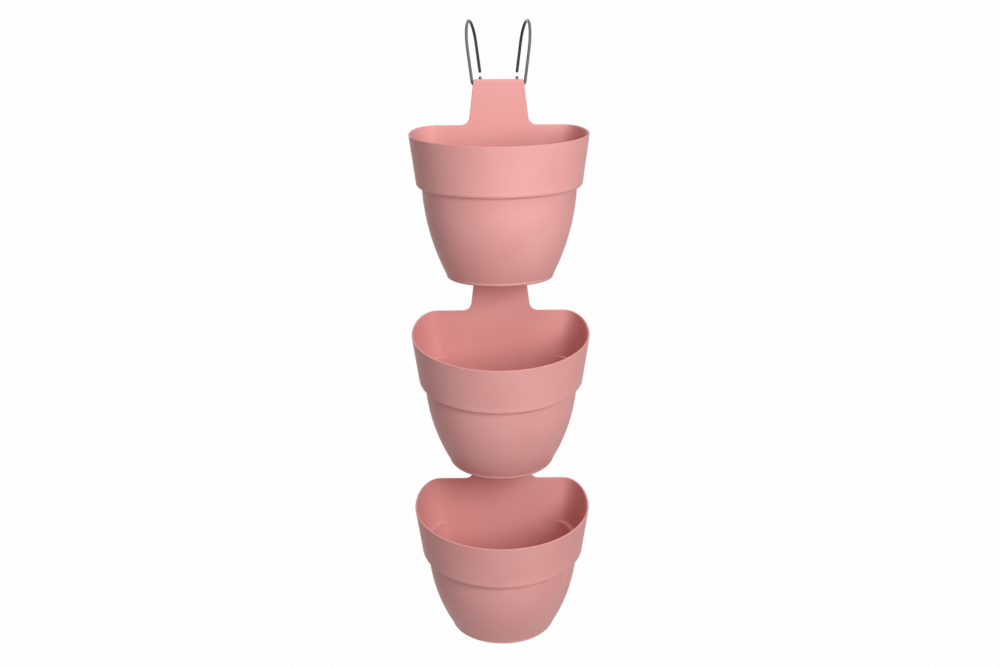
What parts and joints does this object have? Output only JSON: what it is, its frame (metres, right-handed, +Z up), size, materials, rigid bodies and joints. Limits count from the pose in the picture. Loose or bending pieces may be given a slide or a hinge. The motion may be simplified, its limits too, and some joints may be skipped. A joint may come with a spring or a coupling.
{
  "type": "vertical planter",
  "caption": "Hanging planter of D-shaped pots that clip under one another, with wire hooks that go over a balcony railing.",
  "frame": {"origin": "where the two wire hooks bear on top of the railing, halfway between them", "axes": "+X to the right as the pots' rounded fronts are seen, +Y from the pots towards the railing's far side, +Z up"},
  "size_m": [0.2398, 0.3272, 0.869],
  "materials": {
    "planter_plastic": "satin moulded plastic, pale pink",
    "hook_wire": "dark grey coated steel wire"
  },
  "bodies": {
    "left_hook": {"left_hook": "hook_wire"},
    "top_planter": {"top_planter": "planter_plastic"},
    "right_hook": {"right_hook": "hook_wire"},
    "middle_planter": {"middle_planter": "planter_plastic"},
    "bottom_planter": {"bottom_planter": "planter_plastic"}
  },
  "joints": [
    {"name": "planter_swing", "type": "hinge", "parent": "left_hook", "child": "top_planter", "pos_m": [0, -0.03457, -0.08], "axis": [1, 0, 0], "range_deg": [-18, 0]},
    {"name": "right_hook_swing", "type": "hinge", "parent": "top_planter", "child": "right_hook", "pos_m": [0, -0.03457, -0.08], "axis": [1, 0, 0], "range_deg": [0, 18]},
    {"name": "middle_tilt", "type": "hinge", "parent": "top_planter", "child": "middle_planter", "pos_m": [0, -0.03377, -0.3375], "axis": [1, 0, 0], "range_deg": [-14, 0]},
    {"name": "bottom_tilt", "type": "hinge", "parent": "middle_planter", "child": "bottom_planter", "pos_m": [0, 0.01835, -0.58967], "axis": [1, 0, 0], "range_deg": [-14, 0]}
  ],
  "couplings": [
    {"joint": "right_hook_swing", "follows": "planter_swing", "ratio": -1}
  ]
}
